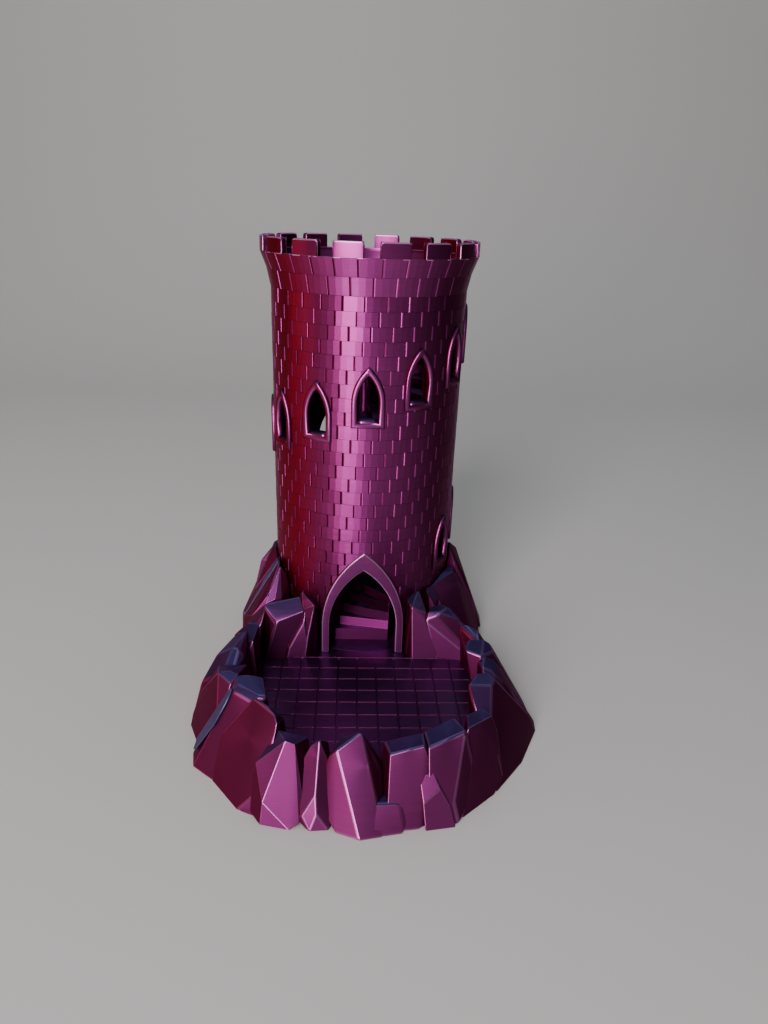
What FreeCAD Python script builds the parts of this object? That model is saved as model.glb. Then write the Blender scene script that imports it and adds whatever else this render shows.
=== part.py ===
"""Castle dice tower: a round brick tower that lifts out of a rock base with a tiled dice tray.

Millimetres, +Z up. The origin is on the tower's axis, at the height of the surface that the
base stands on. -Y is the front, where the dice roll out of the door into the tray.
Compass angles are counted from the front, counterclockwise seen from above: 90 is +X.
"""
import FreeCAD, Part
import itertools
import math
import os

V = FreeCAD.Vector

# ---- driving dimensions ----
HEIGHT = 200.0            # table to the top of the merlons
SLAB_T = 3.0              # foot slab under the tray and the tower
FLOOR_Z = 6.0             # dice floor: tray tiles and the doorway's threshold
FIT = 0.4                 # clearance between the lifting tower and the base

R_FOOT = 44.5             # tower wall outside, at its foot
R_NECK = 45.8             # tower wall outside, where the crown starts
R_INNER = 41.6            # dice shaft
NECK_Z = 178.0
CRENEL_Z = 193.6          # bottom of the gaps between the merlons
R_CROWN = 50.9
CROWN_T = 3.0             # parapet thickness
FLARE = [(0.6, 3.4), (2.5, 8.4)]  # the flare's outline between neck and rim: out, up from the neck
MERLONS = 16
MERLON_DEG = 15.0
MERLON_ROUND = 1.3

DOOR_HALF = 16.3          # clear opening, half width
DOOR_FRAME_W = 3.8
DOOR_FRONT_Y = -46.0      # front face of the flat door frame
DOOR_SPRING_Z = 21.0      # straight jambs below, pointed arch above
DOOR_APEX_Z = 50.8        # clear opening
DOOR_BAND_APEX = 9.3      # frame height at the apex

WINDOW_COUNT = 15
WINDOW_FIRST_DEG = 60.0
WINDOW_STEP_DEG = 30.0
WINDOW_FIRST_Z = 57.8     # middle of the lowest window
WINDOW_RISE = 7.71        # from one window to the next
WINDOW_W = 14.6           # outside of the raised frame
WINDOW_H = 27.6
WINDOW_FRAME = 2.6
WINDOW_STAND = 1.7        # how far the frame stands out of the wall
WINDOW_SPRING = 0.42      # share of the window's height that is straight-sided
WINDOW_APEX_INSET = 1.35  # the frame is this much wider at its point than along its sides

NEWEL_R = 6.0
STAIR_FIRST_DEG = 22.0    # first radial step
STAIR_FIRST_Z = 31.0      # landing that the radial steps climb from
STEP_RISE = 4.65
STEP_DEG = 18.0
STEP_COUNT = 26
STEP_T = 8.0              # step thickness, so that each step holds the next
PARTITION_STEPS = 17      # the partition ends under this step, one turn up
NEWEL_PROUD = 4.0         # the newel's height over the top step
FLIGHTS = 4               # the run of steps is kept as this many flights
PARTITION_T = 2.4
THRESHOLD_Y = -33.7       # first riser, parallel with the door
FIRST_RISE = 6.3
WINDERS = 4
WINDER_DEG = 11.5

TILE = 8.97               # tray tiles, across
TILE_DEEP = 9.21          # tray tiles, front to back
TILE_X0 = -47.33          # a groove between tiles
TILE_Y0 = -51.1           # the groove nearest the door
GROOVE_W = 0.9
GROOVE_D = 0.8

THROUGH = 4.0             # how far a cutting shape runs past what it cuts


# ---- helpers ----
def on_circle(radius, deg, z=0.0):
    """A point at a compass angle round the tower's axis."""
    a = math.radians(deg)
    return V(radius * math.sin(a), -radius * math.cos(a), z)


def cylinder(radius, z0, z1):
    return Part.makeCylinder(radius, z1 - z0, V(0, 0, z0))


def prism(points, z0, z1):
    """A vertical prism over a closed outline given as x, y pairs."""
    ring = [V(x, y, z0) for x, y in points]
    face = Part.Face(Part.makePolygon(ring + ring[:1]))
    return face.extrude(V(0, 0, z1 - z0))


def sector(radius, deg0, deg1, z0, z1):
    """A slice of a cylinder between two compass angles less than 180 degrees apart."""
    middle = on_circle(radius, (deg0 + deg1) / 2, z0)
    start = on_circle(radius, deg0, z0)
    end = on_circle(radius, deg1, z0)
    edges = [
        Part.makeLine(V(0, 0, z0), start),
        Part.Arc(start, middle, end).toShape(),
        Part.makeLine(end, V(0, 0, z0)),
    ]
    return Part.Face(Part.Wire(edges)).extrude(V(0, 0, z1 - z0))


def lancet(half_width, z0, z_spring, z_apex):
    """A pointed-arch face in the XZ plane: straight jambs under two arcs that meet in a point."""
    rise = z_apex - z_spring
    radius = (half_width**2 + rise**2) / (2 * half_width)
    half_turn = math.asin(rise / radius) / 2
    bulge_x = half_width - radius * (1 - math.cos(half_turn))
    bulge_z = z_spring + radius * math.sin(half_turn)
    left, right = V(-half_width, 0, z_spring), V(half_width, 0, z_spring)
    apex = V(0, 0, z_apex)
    foot_left, foot_right = V(-half_width, 0, z0), V(half_width, 0, z0)
    edges = [
        Part.makeLine(foot_left, foot_right),
        Part.makeLine(foot_right, right),
        Part.Arc(right, V(bulge_x, 0, bulge_z), apex).toShape(),
        Part.Arc(apex, V(-bulge_x, 0, bulge_z), left).toShape(),
        Part.makeLine(left, foot_left),
    ]
    return Part.Face(Part.Wire(edges))


def turned(shape, deg):
    """The shape swung from the front to a compass angle."""
    copy = shape.copy()
    copy.rotate(V(0, 0, 0), V(0, 0, 1), deg)
    return copy


def union(shapes):
    joined = shapes[0].multiFuse(shapes[1:]) if len(shapes) > 1 else shapes[0]
    return joined.removeSplitter()


def hull(points):
    """The convex solid over a handful of points."""
    faces = []
    used = set()
    for a, b, c in itertools.combinations(range(len(points)), 3):
        normal = (points[b] - points[a]).cross(points[c] - points[a])
        if normal.Length < 1e-6:
            continue
        normal.normalize()
        heights = [(p - points[a]).dot(normal) for p in points]
        if min(heights) < -1e-4 and max(heights) > 1e-4:
            continue
        on_face = frozenset(i for i, h in enumerate(heights) if abs(h) <= 1e-4)
        if on_face in used:
            continue
        used.add(on_face)
        outward = normal if max(heights) <= 1e-4 else normal * -1
        faces.append(ringed_face([points[i] for i in on_face], outward))
    shell = Part.makeShell(faces)
    shell.sewShape()
    return Part.Solid(shell)


def ringed_face(points, normal):
    """The flat convex face round points that lie on one plane, counterclockwise about normal."""
    middle = sum(points, V(0, 0, 0)) * (1.0 / len(points))
    start = max(points, key=lambda p: (p - middle).Length)
    side = (start - middle).normalize()
    up = normal.cross(side)

    def turn(p):
        return math.atan2((p - middle).dot(up), (p - middle).dot(side)) % (2 * math.pi)

    others = [p for p in points if p is not start]
    ring = []
    for p in [start] + sorted(others, key=turn) + [start]:
        while len(ring) > 1 and (ring[-1] - ring[-2]).cross(p - ring[-1]).dot(normal) <= 1e-9:
            ring.pop()
        ring.append(p)
    return Part.Face(Part.makePolygon(ring))


# ---- the tower, which lifts out ----
def wall_solid(z0, z1, grow=0.0):
    """The tower's slightly spreading outside as a solid, from z0 to z1."""
    slope = (R_NECK - R_FOOT) / (NECK_Z - SLAB_T)
    low = R_FOOT + slope * (z0 - SLAB_T) + grow
    high = R_FOOT + slope * (z1 - SLAB_T) + grow
    return Part.makeCone(low, high, z1 - z0, V(0, 0, z0))


def door_opening(grow=0.0, apex_grow=0.0):
    return lancet(DOOR_HALF + grow, FLOOR_Z, DOOR_SPRING_Z, DOOR_APEX_Z + apex_grow)


def window_places():
    for i in range(WINDOW_COUNT):
        yield WINDOW_FIRST_DEG + i * WINDOW_STEP_DEG, WINDOW_FIRST_Z + i * WINDOW_RISE


def window_prism(deg, z, inset):
    """A lancet bar through the wall at one window, inset from the frame's outside."""
    half = WINDOW_W / 2 - inset
    low = z - WINDOW_H / 2 + inset
    apex = z + WINDOW_H / 2 - WINDOW_APEX_INSET * inset
    spring = z + (WINDOW_SPRING - 0.5) * WINDOW_H
    face = lancet(half, low, spring, apex)
    face.translate(V(0, -R_INNER + THROUGH, 0))
    return turned(face.extrude(V(0, R_INNER - R_CROWN - 2 * THROUGH, 0)), deg)


def tower_shell():
    shell = wall_solid(SLAB_T, NECK_Z).cut(cylinder(R_INNER, SLAB_T, NECK_Z))
    door = door_opening()
    door.translate(V(0, DOOR_FRONT_Y, 0))
    cuts = [door.extrude(V(0, R_INNER / 2, 0))]
    cuts += [window_prism(deg, z, WINDOW_FRAME) for deg, z in window_places()]
    return shell.cut(Part.makeCompound(cuts))


def crown():
    """The flare and the parapet, with its ring of merlons."""
    r_in = R_CROWN - CROWN_T
    profile = [
        V(R_INNER, 0, NECK_Z),
        V(R_NECK, 0, NECK_Z),
        *[V(R_NECK + out, 0, NECK_Z + up) for out, up in FLARE],
        V(R_CROWN, 0, CRENEL_Z),
        V(R_CROWN, 0, HEIGHT),
        V(r_in, 0, HEIGHT),
        V(r_in, 0, CRENEL_Z - 2.0),
        V(R_INNER, 0, NECK_Z + 6.0),
    ]
    ring = Part.Face(Part.makePolygon(profile + profile[:1])).revolve(V(0, 0, 0), V(0, 0, 1), 360)
    return ring.cut(Part.makeCompound([crenel(i) for i in range(MERLONS)]))


def crenel(index):
    """The gap before one merlon. It spreads at the top, where the merlons' corners are rounded."""
    pitch = 360.0 / MERLONS
    half = math.radians(pitch - MERLON_DEG) / 2 * R_CROWN
    top = HEIGHT + THROUGH
    eased = MERLON_ROUND * (1 - math.sqrt(0.5))
    left_arc = Part.Arc(
        V(-half, 0, HEIGHT - MERLON_ROUND),
        V(-half - eased, 0, HEIGHT - eased),
        V(-half - MERLON_ROUND, 0, HEIGHT),
    )
    right_arc = Part.Arc(
        V(half + MERLON_ROUND, 0, HEIGHT),
        V(half + eased, 0, HEIGHT - eased),
        V(half, 0, HEIGHT - MERLON_ROUND),
    )
    edges = [
        Part.makeLine(V(-half, 0, CRENEL_Z), V(-half, 0, HEIGHT - MERLON_ROUND)),
        left_arc.toShape(),
        Part.makeLine(V(-half - MERLON_ROUND, 0, HEIGHT), V(-half - MERLON_ROUND, 0, top)),
        Part.makeLine(V(-half - MERLON_ROUND, 0, top), V(half + MERLON_ROUND, 0, top)),
        Part.makeLine(V(half + MERLON_ROUND, 0, top), V(half + MERLON_ROUND, 0, HEIGHT)),
        right_arc.toShape(),
        Part.makeLine(V(half, 0, HEIGHT - MERLON_ROUND), V(half, 0, CRENEL_Z)),
        Part.makeLine(V(half, 0, CRENEL_Z), V(-half, 0, CRENEL_Z)),
    ]
    face = Part.Face(Part.Wire(edges))
    face.translate(V(0, -R_CROWN - THROUGH, 0))
    return turned(face.extrude(V(0, CROWN_T + 2 * THROUGH, 0)), index * pitch)


def door_arch():
    """The flat pointed arch round the door, standing on the tray floor and let into the wall."""
    outer = door_opening(DOOR_FRAME_W, DOOR_BAND_APEX)
    depth = V(0, -DOOR_FRONT_Y, 0)
    arch = outer.extrude(depth).cut(door_opening().extrude(depth))
    arch.translate(V(0, DOOR_FRONT_Y, 0))
    return arch.cut(wall_solid(SLAB_T, NECK_Z))


def window_frames():
    """The raised lancet surrounds, one for each window of the spiral."""
    frames = []
    for deg, z in window_places():
        ring = window_prism(deg, z, 0.0).cut(window_prism(deg, z, WINDOW_FRAME))
        frames.append(ring.common(wall_solid(SLAB_T, NECK_Z, WINDOW_STAND)))
    return Part.makeCompound([frame.cut(wall_solid(SLAB_T, NECK_Z)) for frame in frames])


def tower_floor():
    return cylinder(R_INNER, SLAB_T, FLOOR_Z)


def newel():
    top = STAIR_FIRST_Z + STEP_COUNT * STEP_RISE
    return cylinder(NEWEL_R, FLOOR_Z, top + NEWEL_PROUD)


def stair_flight(number):
    """One run of radial steps, numbered from the door up."""
    per_flight = math.ceil(STEP_COUNT / FLIGHTS)
    first = number * per_flight
    last = min(first + per_flight, STEP_COUNT)
    steps = []
    for k in range(first, last):
        start = STAIR_FIRST_DEG + k * STEP_DEG
        tread = STAIR_FIRST_Z + (k + 1) * STEP_RISE
        steps.append(sector(R_INNER, start, start + STEP_DEG, tread - STEP_T, tread))
    return union(steps).cut(cylinder(NEWEL_R, 0, HEIGHT))


def entry_steps():
    """The solid steps behind the door: one parallel with it, then winders round the right jamb."""
    well = sector(R_INNER, -STAIR_FIRST_DEG, STAIR_FIRST_DEG, FLOOR_Z, STAIR_FIRST_Z)
    well = well.cut(cylinder(NEWEL_R, 0, HEIGHT))
    pivot = V(-THRESHOLD_Y * math.tan(math.radians(STAIR_FIRST_DEG)), THRESHOLD_Y, 0)
    rise = (STAIR_FIRST_Z - FLOOR_Z - FIRST_RISE) / WINDERS
    layers = []
    z = FLOOR_Z
    for k in range(WINDERS + 1):
        top = FLOOR_Z + FIRST_RISE + k * rise
        behind = Part.makeBox(4 * R_INNER, 2 * R_INNER, top - z, V(-2 * R_INNER, 0, z))
        behind.rotate(V(0, 0, 0), V(0, 0, 1), -k * WINDER_DEG)
        behind.translate(pivot)
        layers.append(well.common(behind))
        z = top
    return union(layers)


def partition_wall():
    """The wall from the newel to the left jamb that turns the dice out of the door."""
    top = STAIR_FIRST_Z + PARTITION_STEPS * STEP_RISE - STEP_T
    corner = V(-PARTITION_T, -R_NECK, FLOOR_Z)
    wall = turned(Part.makeBox(PARTITION_T, R_NECK, top - FLOOR_Z, corner), -STAIR_FIRST_DEG)
    return wall.common(cylinder(R_INNER, 0, HEIGHT)).cut(cylinder(NEWEL_R, 0, HEIGHT))


# ---- the rock base ----
# Joints between neighbouring boulders: where the joint meets the ground inside and outside the
# ring (x, y), and how high the notch between the two boulders is there. The tray's joints run
# from the left waist round the front to the right waist.
TRAY_JOINTS = {
    "waist_left": ((-51, -56), (-68, -58), 14),
    "left_rear": ((-47, -86), (-75, -97), 22),
    "left_mid": ((-42, -104), (-70.5, -116), 26),
    "left_front": ((-35, -117), (-59, -132.5), 26),
    "corner_left": ((-28, -130), (-38, -152), 22),
    "front_left": ((-19, -133), (-24, -155.5), 21),
    "front_mid": ((-11, -135), (-13.5, -156), 18),
    "front_cleft": ((5, -135), (12, -158), 14),
    "front_right": ((22, -132), (22.5, -157), 18),
    "corner_right": ((37, -124), (36.5, -153.5), 20),
    "right_front": ((46, -112), (50, -140), 20),
    "right_mid": ((48, -104), (76.5, -101), 20),
    "right_side": ((52, -84), (76, -86), 20),
    "right_rear": ((52, -70), (72, -70), 20),
    "waist_right": ((49, -52.6), (66, -55), 14),
}
TRAY_BACK_Y = -50.5       # the tray's back edge, either side of the door
DOORWAY_HALF = 21.4       # room for the door frame between the rocks beside it
SOCKET_R = 45.3           # the round hole that the tower stands in
NOTCH_LEAN_IN = 0.12      # a notch's bottom runs between these shares of its joint's length
NOTCH_LEAN_OUT = 0.72


def foot_joint(deg, reach, notch):
    """A joint between two boulders round the tower's foot, at a compass angle."""
    inside, outside = on_circle(SOCKET_R - 2, deg), on_circle(reach, deg)
    return (inside.x, inside.y), (outside.x, outside.y), notch


FOOT_JOINTS = {
    "door_left": ((-DOORWAY_HALF, -38), (-DOORWAY_HALF, TRAY_BACK_Y), 24),
    "nook_left": ((-30.5, -33), (-33, TRAY_BACK_Y), 20),
    "foot_left_front": foot_joint(-64, 74, 18),
    "foot_left": foot_joint(-82, 66, 30),
    "foot_left_rear": foot_joint(-108, 66, 26),
    "foot_rear_left": foot_joint(-138, 64, 24),
    "foot_rear": foot_joint(-172, 61, 22),
    "foot_rear_right": foot_joint(154, 63, 24),
    "foot_right_rear": foot_joint(118, 65, 26),
    "foot_right": foot_joint(84, 66, 28),
    "foot_right_front": foot_joint(62, 72, 18),
    "nook_right": ((29.3, -33), (36, TRAY_BACK_Y), 22),
    "door_right": ((DOORWAY_HALF, -38), (DOORWAY_HALF, TRAY_BACK_Y), 24),
}
ALL_JOINTS = {**TRAY_JOINTS, **FOOT_JOINTS}

# Each boulder: the joints that bound it, then the corners of its top and of its bulging foot.
BOULDERS = {
    "tray_boulder_left_rear": (
        ("waist_left", "left_rear"),
        [(-50, -65, 33), (-50, -75, 30), (-56, -86, 31), (-65, -76, 25), (-54, -62, 30), (-76, -80, 0)],
    ),
    "tray_boulder_left_mid": (
        ("left_rear", "left_mid"),
        [(-51, -104, 35), (-50, -95, 32), (-60, -105, 33), (-75, -105, 0)],
    ),
    "tray_boulder_left": (
        ("left_mid", "left_front"),
        [(-49, -113, 36), (-41, -118, 34), (-43, -111, 31), (-69, -124.5, 0)],
    ),
    "tray_boulder_corner_left": (
        ("left_front", "corner_left"),
        [(-36, -132, 34), (-33.5, -136, 31), (-43, -128, 34), (-38, -141, 28), (-45, -148, 0)],
    ),
    "tray_boulder_front_left": (
        ("corner_left", "front_left"),
        [(-33, -144, 27), (-26, -144.5, 27), (-32, -140, 29), (-24, -138, 26), (-31, -156, 0)],
    ),
    "tray_boulder_sliver": (
        ("front_left", "front_mid"),
        [(-15.5, -141, 28), (-19.5, -143, 26), (-19, -158, 0)],
    ),
    "tray_boulder_front": (
        ("front_mid", "front_cleft"),
        [
            (-2, -141, 31), (-9.5, -146, 27), (4.5, -149, 23),
            (-1, -164, 0), (10, -159.5, 0), (10.5, -156, 8),
        ],
    ),
    "tray_boulder_front_right": (
        ("front_cleft", "front_right"),
        [(10, -148.5, 27), (21.5, -143, 27), (8, -138.5, 25), (21, -136, 27), (17, -158.5, 0)],
    ),
    "tray_boulder_corner_right": (
        ("front_right", "corner_right"),
        [(23.5, -146, 27), (36, -139.5, 29), (24, -137, 27), (34, -131, 29), (30, -156.5, 0)],
    ),
    "tray_boulder_right_front": (
        ("corner_right", "right_front"),
        [(41, -136, 29), (46.5, -127, 28), (40, -130, 28), (44, -147.5, 0)],
    ),
    "tray_boulder_right": (
        ("right_front", "right_mid"),
        [(49.5, -117, 34), (58, -124, 20), (57, -108, 30), (50, -107, 31), (64, -125, 0)],
    ),
    "tray_boulder_right_mid": (
        ("right_mid", "right_side"),
        [(51, -100, 32), (53, -91, 30), (58, -98, 29), (60, -90, 27), (77.5, -93, 0)],
    ),
    "tray_boulder_right_side": (
        ("right_side", "right_rear"),
        [(52.3, -74, 28), (52.3, -79, 28), (53, -71, 29), (59, -71.5, 26), (53, -82.5, 27), (75.5, -78, 0)],
    ),
    "tray_boulder_right_rear": (
        ("right_rear", "waist_right"),
        [(50.5, -60, 30), (56, -62, 27), (53, -66, 26), (70.5, -62, 0)],
    ),
    "foot_boulder_door_left": (
        ("door_left", "nook_left"),
        [(-22, -45, 34), (-27, -38, 36), (-29, -48, 22)],
    ),
    "foot_boulder_nook_left": (
        ("nook_left", "waist_left", "foot_left_front"),
        [(-45, -51, 34), (-41, -52.5, 30), (-33.5, -44, 33), (-34, -33, 31), (-46, -40, 31)],
    ),
    "foot_boulder_left_front": (
        ("foot_left_front", "foot_left"),
        [(-42.5, -20, 44), (-46, -21, 38), (-44.5, -13, 42)],
    ),
    "foot_boulder_left": (
        ("foot_left", "foot_left_rear"),
        [(-46, -4, 45), (-48, -2, 43.5), (-48, 8, 42), (-65, 0, 0), (-66, 6, 0)],
    ),
    "foot_boulder_rear_left": (
        ("foot_left_rear", "foot_rear_left"),
        [(-42, 22, 42), (-45, 30, 38), (-36, 32, 40), (-57, 37, 0)],
    ),
    "foot_boulder_rear": (
        ("foot_rear_left", "foot_rear"),
        [(-22, 42, 46), (-28, 43, 42), (-14, 47, 42), (-25, 61, 0)],
    ),
    "foot_boulder_back": (
        ("foot_rear", "foot_rear_right"),
        [(2, 47, 38), (10, 46, 36), (5, 52, 32), (10, 63, 0)],
    ),
    "foot_boulder_rear_right": (
        ("foot_rear_right", "foot_right_rear"),
        [(30, 36, 46), (36, 34, 43), (38, 28, 42), (46, 47, 0)],
    ),
    "foot_boulder_right": (
        ("foot_right_rear", "foot_right"),
        [(46, 3, 45), (51.5, 2, 43), (48, 14, 41), (66, 14, 0), (67, 3, 0)],
    ),
    "foot_boulder_right_front": (
        ("foot_right", "foot_right_front"),
        [(43.5, -18, 38), (49, -18, 37), (47, -10, 36), (66, -14, 0), (67, -24, 0)],
    ),
    "foot_boulder_nook_right": (
        ("foot_right_front", "waist_right", "nook_right"),
        [(36, -48, 27), (42, -49, 28), (49, -49, 23), (46, -36, 27), (37, -32, 27)],
    ),
    "foot_boulder_door_right": (
        ("nook_right", "door_right"),
        [(22.5, -44.5, 35), (29, -39, 40), (31.5, -48, 31), (32, -42, 34)],
    ),
}


def joint_corners(joint):
    """The corners of the flat face that two neighbouring boulders share."""
    (ix, iy), (ox, oy), notch = joint

    def between(share, z):
        return V(ix + share * (ox - ix), iy + share * (oy - iy), z)

    ground = [between(0, 0), between(1, 0), between(0, FLOOR_Z)]
    return ground + [between(NOTCH_LEAN_IN, notch), between(NOTCH_LEAN_OUT, notch)]


def boulder(joints, corners):
    points = [V(*corner) for corner in corners]
    for name in joints:
        points += joint_corners(ALL_JOINTS[name])
    return hull(points).cut(cylinder(SOCKET_R, -THROUGH, HEIGHT))


def tray_outline():
    """The floor's outline: along the insides of the tray's boulders, and in under the door."""
    ring = [inside for inside, _, _ in TRAY_JOINTS.values()]
    doorway = [
        FOOT_JOINTS["nook_right"][1],
        (DOORWAY_HALF, TRAY_BACK_Y),
        (DOORWAY_HALF, -38),
        (-DOORWAY_HALF, -38),
        (-DOORWAY_HALF, TRAY_BACK_Y),
        FOOT_JOINTS["nook_left"][1],
    ]
    return ring + doorway


def foot_slab():
    return union([prism(tray_outline(), 0, SLAB_T), cylinder(SOCKET_R, 0, SLAB_T)])


def tray_floor():
    """The dice floor: square tiles between narrow grooves."""
    floor = prism(tray_outline(), SLAB_T, FLOOR_Z).cut(cylinder(R_FOOT + FIT, 0, HEIGHT))
    box = floor.BoundBox
    bottom = FLOOR_Z - GROOVE_D
    grooves = []
    x = TILE_X0
    while x < box.XMax:
        corner = V(x - GROOVE_W / 2, box.YMin, bottom)
        grooves.append(Part.makeBox(GROOVE_W, TILE_Y0 - box.YMin, THROUGH, corner))
        x += TILE
    y = TILE_Y0
    while y > box.YMin:
        corner = V(box.XMin, y - GROOVE_W / 2, bottom)
        grooves.append(Part.makeBox(box.XLength, GROOVE_W, THROUGH, corner))
        y -= TILE_DEEP
    return floor.cut(Part.makeCompound(grooves))


NODES = {
    "tower_shell": tower_shell,
    "tower_crown": crown,
    "door_arch": door_arch,
    "window_frames": window_frames,
    "tower_floor": tower_floor,
    "stair_newel": newel,
    "entry_steps": entry_steps,
    "partition_wall": partition_wall,
    "foot_slab": foot_slab,
    "tray_floor": tray_floor,
}


def main():
    os.makedirs("parts", exist_ok=True)
    shapes = {name: make() for name, make in NODES.items()}
    for number in range(FLIGHTS):
        shapes["stair_flight_%d" % (number + 1)] = stair_flight(number)
    for name, (joints, corners) in BOULDERS.items():
        shapes[name] = boulder(joints, corners)
    for name, shape in shapes.items():
        shape.exportStep("parts/%s.step" % name)
        figures = (name, shape.Volume, len(shape.Solids), shape.isValid())
        print("%-26s %8.0f mm3  %d solids  %s" % figures)


main()
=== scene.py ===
"""The looks of a castle dice tower, printed in two-colour silk filament, on a pale studio floor.

Metres, in the CAD model's frame: the origin is on the tower's axis at the table, +Z up, and -Y
is the front. Compass angles are counted from the front, counterclockwise seen from above.
"""
import bpy
import bmesh
import math
import random
from mathutils import Matrix, Vector

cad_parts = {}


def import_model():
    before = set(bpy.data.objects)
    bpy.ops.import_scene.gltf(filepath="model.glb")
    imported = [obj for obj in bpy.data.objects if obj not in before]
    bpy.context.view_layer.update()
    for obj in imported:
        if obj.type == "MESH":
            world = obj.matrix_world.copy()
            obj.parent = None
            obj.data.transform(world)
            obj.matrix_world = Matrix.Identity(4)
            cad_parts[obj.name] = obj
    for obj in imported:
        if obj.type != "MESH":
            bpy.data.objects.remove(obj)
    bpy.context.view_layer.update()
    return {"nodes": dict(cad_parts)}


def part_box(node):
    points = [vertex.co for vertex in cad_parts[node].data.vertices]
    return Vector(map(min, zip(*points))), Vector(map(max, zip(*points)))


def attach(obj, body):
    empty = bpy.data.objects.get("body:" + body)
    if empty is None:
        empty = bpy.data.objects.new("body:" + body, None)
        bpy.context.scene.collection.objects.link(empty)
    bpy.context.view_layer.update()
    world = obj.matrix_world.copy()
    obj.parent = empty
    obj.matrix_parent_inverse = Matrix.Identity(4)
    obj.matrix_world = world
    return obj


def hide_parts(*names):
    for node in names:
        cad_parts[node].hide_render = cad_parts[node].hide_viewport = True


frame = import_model()
nodes = frame["nodes"]
random.seed(11)

MM = 0.001

# ---- sizes that the looks share with the CAD ----
FOOT_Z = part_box("tower_shell")[0].z
NECK_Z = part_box("tower_crown")[0].z
TOP_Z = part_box("tower_crown")[1].z
R_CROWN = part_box("tower_crown")[1].x
R_FOOT = 44.5 * MM
R_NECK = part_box("tower_shell")[1].x
R_SHAFT = 41.6 * MM
CRENEL_Z = TOP_Z - 6.4 * MM
R_PARAPET = R_CROWN - 3.0 * MM        # the parapet's inside
RIM_EASE = 0.15 * MM
RING_STEPS = 192
MERLONS = 16
MERLON_HALF = math.radians(7.5)
MERLON_ROUND = 1.3 * MM
MERLON_SUNK = 0.6 * MM                # let into the ring

WINDOWS = 15
WINDOW_FIRST_DEG = 60
WINDOW_STEP_DEG = 30
WINDOW_FIRST_Z = 57.8 * MM
WINDOW_RISE = 7.71 * MM
WINDOW_HALF = 7.3 * MM
WINDOW_H = 27.6 * MM

DOOR_HALF = 16.3 * MM
DOOR_SPRING_Z = 21.0 * MM
DOOR_APEX_Z = 50.8 * MM
DOOR_FLOOR_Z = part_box("tray_floor")[1].z
DOOR_BAND = 3.8 * MM
DOOR_BAND_APEX = 9.3 * MM
DOOR_FRONT_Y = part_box("door_arch")[0].y
DOOR_SET_IN = 0.6 * MM

# How far the cuts through the brickwork reach.
CUT_DEPTH = 2.0 * MM
WINDOW_CUT_IN = 1.3 * MM
DOOR_CUT_OUT = 2.5 * MM
DOOR_CUT_UP = 6.0 * MM
DOOR_CUT_DOWN = 9.0 * MM
# A brick with its middle this near to an opening may be cut by it.
DOOR_REACH = math.radians(38)
DOOR_REACH_Z = 68 * MM
WINDOW_REACH = math.radians(17)
WINDOW_REACH_Z = 20 * MM

# ---- brickwork ----
WALL_COURSES = 28
CROWN_COURSES = 2
BRICKS_ROUND = 30
COURSE_SHIFT = math.radians(4.25)     # each course starts this much further round
BRICK_START = math.radians(2.0)
BRICK_PROUD = 0.40 * MM
BRICK_LIFT = 0.04 * MM                # each brick stands up to this much more or less proud
BRICK_LEAN = 0.09 * MM                # and its ends lean up to this much, one out and one in
BRICK_FACETS = 3                      # flats across a brick's face
BRICK_CRISP = 0.4                     # the chamfer on the right is this share of the left one's
# A brick's edge from its root to its face: inset at the sides, inset above and below (mm), and
# how far out (mm where it is behind the wall, else a share of how far the brick stands proud).
BRICK_SECTION = [(0.03, 0.02, -0.7), (0.03, 0.02, 0.25), (0.38, 0.03, 0.8), (0.80, 0.06, 1.0)]


# ---- mesh helpers ----
def new_object(name, bm, material, smooth=True):
    """Turns a bmesh into a named object with one material."""
    bmesh.ops.recalc_face_normals(bm, faces=bm.faces)
    mesh = bpy.data.meshes.new(name)
    bm.to_mesh(mesh)
    bm.free()
    for polygon in mesh.polygons:
        polygon.use_smooth = smooth
    mesh.materials.append(material)
    obj = bpy.data.objects.new(name, mesh)
    bpy.context.scene.collection.objects.link(obj)
    return obj


def cap(bm, made):
    """Closes the two ends of a loft."""
    bm.faces.new(made[0])
    bm.faces.new(made[-1])


def apply_modifiers(obj):
    """Bakes the object's modifiers into its mesh."""
    depsgraph = bpy.context.evaluated_depsgraph_get()
    baked = bpy.data.meshes.new_from_object(obj.evaluated_get(depsgraph))
    obj.modifiers.clear()
    obj.data = baked


def loft(bm, rings, closed_rings=True, closed_profile=False):
    """Quads between rings of the same number of points. Returns the rings' vertices."""
    made = [[bm.verts.new(p) for p in ring] for ring in rings]
    count = len(rings[0])
    last = count if closed_rings else count - 1
    pairs = list(zip(made, made[1:]))
    if closed_profile:
        pairs.append((made[-1], made[0]))
    for low, high in pairs:
        for i in range(last):
            j = (i + 1) % count
            bm.faces.new((low[i], low[j], high[j], high[i]))
    return made


def soften(obj, width, angle_deg, segments, edge_highlight_material=None):
    """Rounds the object's edges over. They can take a lighter material of their own, a painted
    highlight along them.
    """
    bevel = obj.modifiers.new("soft edges", "BEVEL")
    bevel.width = width
    bevel.segments = segments
    bevel.limit_method = "ANGLE"
    bevel.angle_limit = math.radians(angle_deg)
    bevel.use_clamp_overlap = True
    if edge_highlight_material:
        obj.data.materials.append(edge_highlight_material)
        bevel.material = 1


def smooth_shading(obj):
    """Keeps the object's large faces flat-looking and shades across its softened edges."""
    normals = obj.modifiers.new("normals", "WEIGHTED_NORMAL")
    normals.keep_sharp = False


# ---- the tower's round wall ----
def wall_radius(z):
    """The wall's outside radius: a slight spread up to the neck, then the crown's flare."""
    if z <= NECK_Z:
        return R_FOOT + (R_NECK - R_FOOT) * (z - FOOT_Z) / (NECK_Z - FOOT_Z)
    t = (z - NECK_Z) / (CRENEL_Z - NECK_Z)
    flare = R_CROWN - 0.35 * MM - R_NECK
    return R_NECK + flare * (0.12 * t + 0.88 * t ** 1.55)


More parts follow.
